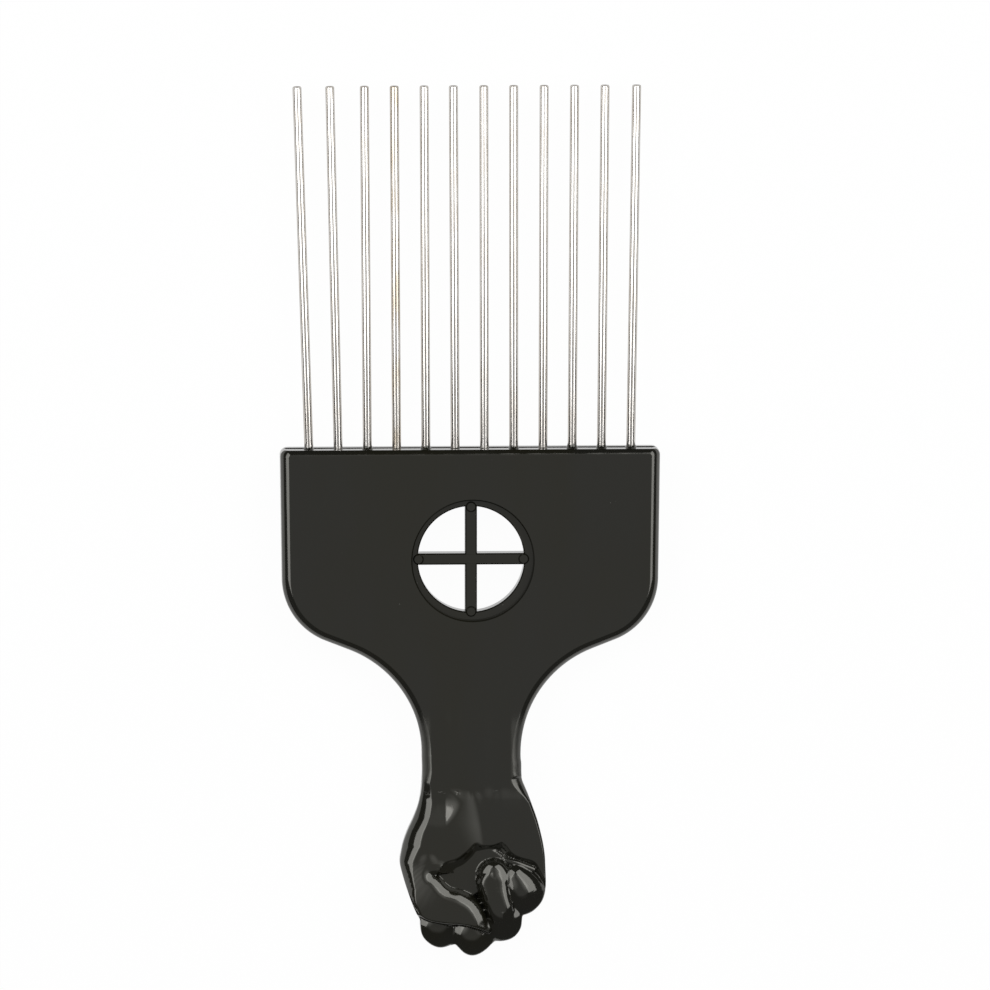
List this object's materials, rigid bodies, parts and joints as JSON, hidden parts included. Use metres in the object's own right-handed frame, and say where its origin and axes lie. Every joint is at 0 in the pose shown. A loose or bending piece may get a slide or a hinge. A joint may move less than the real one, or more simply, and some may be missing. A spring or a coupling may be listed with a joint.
{
  "type": "afro pick",
  "caption": "Hair pick with long round steel tines set in a moulded plastic handle with a crossed round window and a clenched-fist grip.",
  "frame": {"origin": "under the middle of the pick as it lies face up, at the height of the lowest knuckle on its back", "axes": "+Y from the fist towards the free ends of the tines, +Z out of the face that shows the palm, +X to the right"},
  "size_m": [0.0778, 0.1794, 0.0121],
  "materials": {
    "black_plastic": "moulded black plastic with a glossy skin",
    "plated_steel": "bright nickel-plated steel wire"
  },
  "bodies": {
    "root": {"handle": "black_plastic", "tine_01": "plated_steel", "tine_02": "plated_steel", "tine_03": "plated_steel", "tine_04": "plated_steel", "tine_05": "plated_steel", "tine_06": "plated_steel", "tine_07": "plated_steel", "tine_08": "plated_steel", "tine_09": "plated_steel", "tine_10": "plated_steel", "tine_11": "plated_steel", "tine_12": "plated_steel"}
  },
  "joints": []
}
